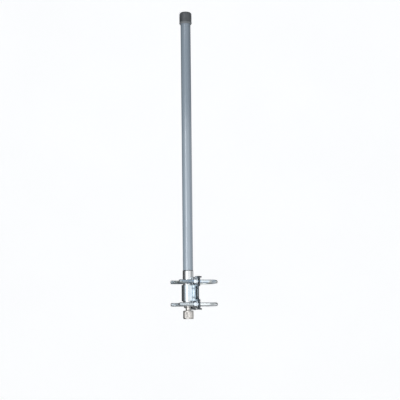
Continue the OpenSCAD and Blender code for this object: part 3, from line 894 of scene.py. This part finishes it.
def clamp_strap():
    end, leg, waist = flange_u(PLATE_Y), flange_u(LEG_Y), flange_u(20.0)
    tab = flange_u(WRAP_OUTER_R + 9.6)
    slot_z0, slot_z1 = BOLT_Z - BOLT_HOLE_R, BOLT_Z + BOLT_HOLE_R
    wrap_z = 17
    # (u, v, corner radius); the bolt slot is open at the flange's end
    quarter = fillet([
        (waist, 0, 0), (waist, RIB_V - 1.3, 0.8), (tab, RIB_V - 1.2, 0.9),
        (tab, RIB_V + 1.2, 0.9), (waist, RIB_V + 1.3, 0.8), (waist, MIDDLE_Z, 2.0),
        (end, MIDDLE_Z, 2.2), (end, slot_z0, 1), (leg - BOLT_HOLE_R, slot_z0, BOLT_HOLE_R),
        (leg - BOLT_HOLE_R, slot_z1, BOLT_HOLE_R), (end, slot_z1, 1), (end, PLATE_Z, 3),
        (BEND_U + 0.3, PLATE_Z, 2.4), (BEND_U + 0.3, wrap_z, 2.6), (0, wrap_z, 0)],
        closed=False)
    # coarse grids on the wrap and flanges, fine ones over the ribs
    wrap = grid((-BEND_U - 1, BEND_U + 1), (-16, 16), 0.9, 1.6)
    grids = [clear_of_ribs(wrap, 9.0, 3.1)]
    for span in ((-end, -BEND_U - 2), (BEND_U + 2, end)):
        grids.append(clear_of_ribs(grid(span, (-34, 34), 2.2, 2.2), 9.4, 3.4))
    for u in (-RIB_U, RIB_U):
        for v in (-RIB_V, RIB_V):
            grids.append(grid((u - 8.6, u + 8.6), (v - 2.8, v + 2.8), 0.5, 0.4))
    sheet("clamp_strap_pressed", four_fold(quarter), merged(grids), STRAP_T, 0.45, strap_form,
          "clamp_strap")


# ---------------------------------------------------------------- saddle plate
# u across (row Y), developed height v: the flat plate, a bend, then a shelf towards +X.
SADDLE_X = STRAP_X1 + SADDLE_T / 2
SHELF_MID_R = SADDLE_BEND_R + SADDLE_T / 2
SHELF_CX = SADDLE_X + SHELF_MID_R
SHELF_CZ = PLATE_Z - SADDLE_T - SADDLE_BEND_R
FLAT_V = SHELF_CZ
SHELF_V = FLAT_V + math.pi / 2 * SHELF_MID_R


def saddle_form(u, v, height):
    a = np.abs(v)
    zones = [(a <= FLAT_V) | (np.abs(u) > 25.5), a <= SHELF_V]
    bend_turn = (a - FLAT_V) / SHELF_MID_R
    bend_r = SHELF_MID_R + height
    x = np.select(zones, [SADDLE_X - height, SHELF_CX - bend_r * np.cos(bend_turn)],
                  SHELF_CX + a - SHELF_V)
    z = np.select(zones, [a, SHELF_CZ + bend_r * np.sin(bend_turn)],
                  SHELF_CZ + SHELF_MID_R + height)
    return np.stack([x, u, z * sign(v)], 1)


def mast_arc(tip_y):
    """Developed edge of the shelf where the mast cuts into it, from the tip to the middle."""
    arc = []
    for y in np.linspace(tip_y, 0, 40):
        x = -math.sqrt(MAST_R ** 2 - y * y)
        if x > SHELF_CX:
            v = SHELF_V + (x - SHELF_CX)
        else:
            v = FLAT_V + SHELF_MID_R * math.acos(min(1, (SHELF_CX - x) / SADDLE_BEND_R))
        arc.append((y, v))
    return arc


def saddle_plate():
    tip_y = MAST_R * math.sin(math.radians(55))
    arc = mast_arc(tip_y)
    tip_v = arc[0][1]
    waist_y = 26.5
    # (u, v, corner radius)
    quarter = fillet([
        (waist_y, 0, 0), (waist_y, MIDDLE_Z, 3), (SADDLE_Y, MIDDLE_Z, 2.2),
        (SADDLE_Y, PLATE_Z, 3), (26.3, PLATE_Z, 1.2), (26.3, FLAT_V - 0.4, 0.7),
        (24.7, FLAT_V - 0.4, 0.7), (24.5, SHELF_V - 0.8, 1.0), (23.5, SHELF_V + 0.4, 1.5),
        (tip_y + 1.3, tip_v, 0.6), (tip_y, tip_v, 0)], closed=False)
    grids = [
        grid((-33, 33), (-FLAT_V + 1, FLAT_V - 1), 2.2, 2.2),
        grid((-24, 24), (-SHELF_V - 0.6, -FLAT_V), 1.3, 0.55),
        grid((-24, 24), (FLAT_V, SHELF_V + 0.6), 1.3, 0.55),
        grid((-24, 24), (-tip_v, -SHELF_V - 1.4), 1.6, 1.6),
        grid((-24, 24), (SHELF_V + 1.4, tip_v), 1.6, 1.6)]
    holes = [(sy * LEG_Y, sz * BOLT_Z, BOLT_HOLE_R) for sy in (-1, 1) for sz in (-1, 1)]
    sheet("saddle_plate_pressed", four_fold(np.concatenate([quarter, np.array(arc[1:])])),
          merged(grids), SADDLE_T, 0.5, saddle_form, "saddle_plate", holes)


clamp_strap()
saddle_plate()


# ---------------------------------------------------------------- U-bolts
def u_bolt(node, bolt_z):
    """Bent rod with helical threads on both legs and chamfered ends."""
    count = 40
    turn = turns(count)
    rod_r = ROD_R - 0.02
    leg_end = BEND_X - TIP_X           # distances run along a leg from the bend's centre
    thread_start = leg_end - 42.0
    depth = 0.61 * BOLT_PITCH
    chamfer = 1.0
    bend_centre = np.array([BEND_X, 0, bolt_z])

    def rod_ring(outward, radius=rod_r, along=0.0):
        """Section whose centre lies LEG_Y from the bend's centre, moved along towards -X."""
        offset = (outward[None] * np.cos(turn)[:, None]
                  + np.array([0, 0, 1.0])[None] * np.sin(turn)[:, None])
        points = bend_centre + outward * LEG_Y + offset * np.reshape(radius, (-1, 1))
        points[:, 0] -= along
        return points

    def leg(side, hand):
        """Threaded length from shank to tip."""
        outward = np.array([0, side, 0.0])
        rings = [rod_ring(outward, along=thread_start - back) for back in (1.5, 0.1)]
        start = thread_start - BOLT_PITCH
        while start < leg_end + BOLT_PITCH:
            # (part of the pitch, part of the depth)
            for part, cut in ((0.0, 0.0), (0.13, 0.0), (0.45, 1.0), (0.57, 1.0)):
                along = start + part * BOLT_PITCH + hand * turn / TAU * BOLT_PITCH
                fade = np.clip((along - thread_start) / (1.5 * BOLT_PITCH), 0, 1)
                radius = rod_r - 0.06 * fade - depth * cut * fade
                along = np.clip(along, thread_start, leg_end)
                radius = np.minimum(radius, rod_r - chamfer + (leg_end - along) * 1.05)
                rings.append(rod_ring(outward, radius, along))
            start += BOLT_PITCH
        for scale, back in ((1.0, 0.0), (0.8, 0.05), (0.45, 0.05)):
            rings.append(rod_ring(outward, (rod_r - chamfer) * scale, leg_end - back))
        return rings

    rings = leg(side=-1.0, hand=1.0)[::-1]
    for along in (thread_start - 3, 3.0, 0.0):
        if along < thread_start - 1.6:             # only where clear of the thread's first rings
            rings.append(rod_ring(np.array([0, -1.0, 0]), along=along))
    for bend_turn in np.linspace(-math.pi / 2, math.pi / 2, 61)[1:-1]:
        rings.append(rod_ring(np.array([math.cos(bend_turn), math.sin(bend_turn), 0])))
    for along in (0.0, 3.0, thread_start - 3):
        rings.append(rod_ring(np.array([0, 1.0, 0]), along=along))
    rings += leg(side=1.0, hand=-1.0)
    points = np.concatenate(rings + [[rings[0].mean(0), rings[-1].mean(0)]])
    faces = ring_faces(len(rings), count, closed=False) + end_fans(len(rings), count)
    make(node + "_rod", points, faces, "zinc_bolt", node, node, sharp=42, merge=0.003)


# ---------------------------------------------------------------- nuts and washers
def hex_nut(node, y, z):
    """Hexagon nut: chamfered on both faces, countersunk bore, slightly blunted corners."""
    count = 72
    turn = turns(count)
    flat_r = NUT_FLATS / 2
    corner_r = flat_r / math.cos(math.pi / 6)
    hex_r = flat_r / np.cos((turn + math.pi / 6) % (math.pi / 3) - math.pi / 6)
    hex_r = np.minimum(hex_r, corner_r - 0.16)
    height = NUT_X1 - NUT_X0
    face_r = flat_r - 0.15             # where the chamfer starts
    drop = np.maximum(0.0, (hex_r - face_r) * math.tan(math.radians(30)))
    bore_r = ROD_R + 0.03
    # (radius, depth below the face) from the bore out to the flats
    half = [
        (bore_r, 0.75), (bore_r + 0.06, 0.62), (bore_r + 0.5, 0.05), (bore_r + 0.62, 0.02),
        (face_r - 0.12, 0.02), (face_r, 0.04),
        (face_r + (hex_r - face_r) * 0.33, 0.03 + drop * 0.33),
        (face_r + (hex_r - face_r) * 0.66, 0.03 + drop * 0.66),
        (hex_r - 0.08, 0.03 + drop - 0.01), (hex_r, 0.03 + drop + 0.10)]
    flats = [(hex_r, (0.13 + drop) * (1 - k) + (height - 0.13 - drop) * k)
             for k in (0.25, 0.5, 0.75)]
    stations = half + flats + [(radius, height - depth) for radius, depth in half[::-1]]
    points = np.concatenate([ring(turn, radius, depth + NUT_X0) for radius, depth in stations])
    make(node + "_hex", along_x(points, y, z), ring_faces(len(stations), count, closed=True),
         "zinc_nut", node, node, sharp=26)


def washers():
    bore_r = ROD_R + 0.2
    profile = fillet([(bore_r, WASHER_X0, 0.12), (WASHER_R, WASHER_X0, 0.4),
                      (WASHER_R, WASHER_X1, 0.15), (bore_r, WASHER_X1, 0.3)], step=0.12)
    spots = [(sy * LEG_Y, sz * BOLT_Z) for sy in (-1, 1) for sz in (-1, 1)]
    for i, (y, z) in enumerate(spots, 1):
        lathe("flat_washer_%d" % i, profile, "zinc_nut", "clamp",
              "flat_washers" if i == 1 else None, count=72,
              place=lambda points: along_x(points, y, z))


u_bolt("upper_u_bolt", BOLT_Z)
u_bolt("lower_u_bolt", -BOLT_Z)
for level, nut_z in (("upper", BOLT_Z), ("lower", -BOLT_Z)):
    for side_name, nut_y in (("near", -LEG_Y), ("far", LEG_Y)):
        hex_nut("%s_%s_nut" % (level, side_name), nut_y, nut_z)
washers()

# ---------------------------------------------------------------- finishes for the CAD nodes
slot_of = {part["node"]: part["material_slot"] for part in frame["record"]["subparts"]}
for node, obj in frame["nodes"].items():
    obj.data.materials.clear()
    obj.data.materials.append(MATS[slot_of[node]])

# ---------------------------------------------------------------- stage (metres from here on)
CAMERA_BEARING = 21.366                # degrees from -Y towards -X


def view_axes(bearing):
    """Level directions away from a viewer at the bearing, and to the viewer's right."""
    a = math.radians(bearing)
    return Vector((math.sin(a), math.cos(a), 0)), Vector((math.cos(a), -math.sin(a), 0))


def stage_material():
    mat = Material("studio_floor")
    cloud = mat.noise(scale=2.2, rough=0.5)
    return mat.put(
        Base_Color=mat.mix(under=(0.90, 0.90, 0.905), over=(0.93, 0.93, 0.93),
                           amount=mat.remap(cloud)),
        Roughness=0.75, Specular_IOR_Level=0.1,
        Emission_Color=(1.0, 1.0, 1.0), Emission_Strength=0.60)


def cyclorama():
    """Pale floor that curves up into a pale backdrop."""
    floor_z, near, curve_start, curve_r, top, half_width = -0.62, -9.0, 2.5, 2.2, 9.0, 9.0
    profile = [(near, 0.0), (curve_start, 0.0)]
    for k in range(1, 13):
        a = math.pi / 2 * k / 12
        profile.append((curve_start + curve_r * math.sin(a), curve_r - curve_r * math.cos(a)))
    profile.append((curve_start + curve_r, top))
    away, right = view_axes(21.4)
    points = [tuple(away * distance + right * across + Vector((0, 0, floor_z + z)))
              for distance, z in profile for across in (-half_width, half_width)]
    faces = [(2 * i, 2 * i + 1, 2 * i + 3, 2 * i + 2) for i in range(len(profile) - 1)]
    mesh = bpy.data.meshes.new("studio_floor")
    mesh.from_pydata(points, [], faces)
    for polygon in mesh.polygons:
        polygon.use_smooth = True
    mesh.materials.append(stage_material())
    floor = bpy.data.objects.new("studio_floor", mesh)
    scene.collection.objects.link(floor)
    floor.visible_glossy = False
    floor.visible_diffuse = False


# ---------------------------------------------------------------- camera
def camera():
    distance, height = 2.1246, -0.0788
    heading, pitch, roll = (math.radians(angle) for angle in (21.199, 7.453, -0.673))
    data = bpy.data.cameras.new("camera")
    obj = bpy.data.objects.new("camera", data)
    scene.collection.objects.link(obj)
    scene.camera = obj
    data.sensor_width = 36.0
    data.sensor_fit = "HORIZONTAL"
    data.lens = 90.0
    data.clip_end = 60
    bearing = math.radians(CAMERA_BEARING)
    place = Vector((-math.sin(bearing) * distance, -math.cos(bearing) * distance, height))
    forward = Vector((math.sin(heading) * math.cos(pitch),
                      math.cos(heading) * math.cos(pitch), math.sin(pitch)))
    level = forward.cross(Vector((0, 0, 1))).normalized()
    upward = level.cross(forward)
    right = level * math.cos(roll) + upward * math.sin(roll)
    up = -level * math.sin(roll) + upward * math.cos(roll)
    rows = [(right[i], up[i], -forward[i], place[i]) for i in range(3)]
    obj.matrix_world = Matrix((*rows, (0, 0, 0, 1)))


# ---------------------------------------------------------------- lights
def area(name, bearing, distance, height, size, power, color=(1, 1, 1), aim_z=0.0):
    """Softbox at a bearing from the camera's own; positive is to the camera's right."""
    away, right = view_axes(CAMERA_BEARING)
    a = math.radians(bearing)
    place = (-away * math.cos(a) + right * math.sin(a)) * distance + Vector((0, 0, height))
    light = bpy.data.lights.new(name, "AREA")
    light.shape = "RECTANGLE"
    light.size, light.size_y = size
    light.energy = power
    light.color = color
    obj = bpy.data.objects.new(name, light)
    scene.collection.objects.link(obj)
    obj.location = place
    obj.rotation_euler = (Vector((0, 0, aim_z)) - place).to_track_quat("-Z", "Y").to_euler()
    obj.visible_glossy = False
    obj.visible_camera = False


# ---------------------------------------------------------------- world
# Brightness round the horizon: (degrees from the camera's side, positive to its right, level)
AROUND = [
    (-180, 1.0), (-172, 0.60), (-166, 0.40), (-152, 0.34), (-138, 0.03), (-122, 0.07),
    (-80, 0.14), (-68, 0.24), (-58, 0.62), (-48, 0.82), (-37, 1.18), (-30.5, 1.50),
    (-28.5, 4.2), (-20, 4.2), (-18, 1.5), (-10, 1.25), (5, 1.22), (30, 1.10), (44, 1.32),
    (56, 0.66), (80, 0.38), (108, 0.62), (135, 0.62), (150, 0.18), (166, 0.12), (173, 0.55),
    (180, 1.0)]
AROUND_TINT = (0.2277, 0.2325, 0.2348)
# Brightness by height: (z of the ray's direction, level)
BY_HEIGHT = [
    (-1.0, 0.70), (-0.6, 0.80), (-0.3, 0.90), (-0.08, 1.0), (0.20, 1.0), (0.242, 0.25),
    (0.268, 0.18), (0.31, 0.09), (0.36, 0.12), (0.48, 0.85), (0.80, 1.05), (1.0, 1.25)]
HEIGHT_SCALE = 1.5                     # keeps the levels of BY_HEIGHT below 1 in the ramp


def studio_world():
    """Reflections see banded walls of light; other rays see plain pale backgrounds."""
    world = bpy.data.worlds.new("studio")
    scene.world = world
    nodes = Nodes(world)
    ray = nodes.add("ShaderNodeTexCoord").outputs["Generated"]

    def along(direction):
        node = nodes.add("ShaderNodeVectorMath", operation="DOT_PRODUCT")
        nodes.feed(node.inputs[0], ray)
        node.inputs[1].default_value = direction
        return node.outputs["Value"]

    def background(color, strength):
        node = nodes.add("ShaderNodeBackground")
        nodes.feed(node.inputs[0], color)
        node.inputs[1].default_value = strength
        return node.outputs[0]

    def choose(test, otherwise, chosen):
        node = nodes.add("ShaderNodeMixShader")
        for socket, value in zip(node.inputs, (test, otherwise, chosen)):
            nodes.feed(socket, value)
        return node.outputs[0]

    away, right = view_axes(CAMERA_BEARING)
    to_right = along((right.x, right.y, 0))
    to_camera = along((-away.x, -away.y, 0))
    upward = along((0, 0, 1))
    angle = nodes.math("DIVIDE", nodes.math("ARCTAN2", to_right, to_camera), TAU)
    around = nodes.ramp(nodes.math("ADD", angle, 0.5), [
        ((degrees + 180) / 360, tuple(level * c for c in AROUND_TINT))
        for degrees, level in AROUND])
    by_height = nodes.ramp(nodes.math("ADD", nodes.math("MULTIPLY", upward, 0.5), 0.5), [
        ((z + 1) / 2, (level / HEIGHT_SCALE,) * 3) for z, level in BY_HEIGHT])
    walls = nodes.mix(under=around, over=by_height, amount=1.0, mode="MULTIPLY")
    reflected = background(walls, strength=7.98)
    ambient = background((0.93, 0.965, 1.0), strength=0.42)
    rays = nodes.add("ShaderNodeLightPath").outputs
    lighting = choose(rays["Is Glossy Ray"], otherwise=ambient, chosen=reflected)
    backdrop = background((0.985, 0.985, 0.99), strength=1.0)
    surface = choose(rays["Is Camera Ray"], otherwise=lighting, chosen=backdrop)
    nodes.feed(nodes.add("ShaderNodeOutputWorld").inputs[0], surface)


cyclorama()
camera()
scene.view_settings.view_transform = "Standard"
scene.view_settings.look = "None"
scene.view_settings.exposure = 0.0
area("key", bearing=-30, distance=1.2, height=-0.16, size=(0.7, 0.8), power=10.5, aim_z=-0.02)
area("fill", bearing=50, distance=1.5, height=-0.02, size=(0.7, 0.9), power=5.2,
     color=(0.96, 0.98, 1.0))
area("back", bearing=165, distance=1.6, height=0.5, size=(0.8, 1.2), power=9, aim_z=0.2)
studio_world()
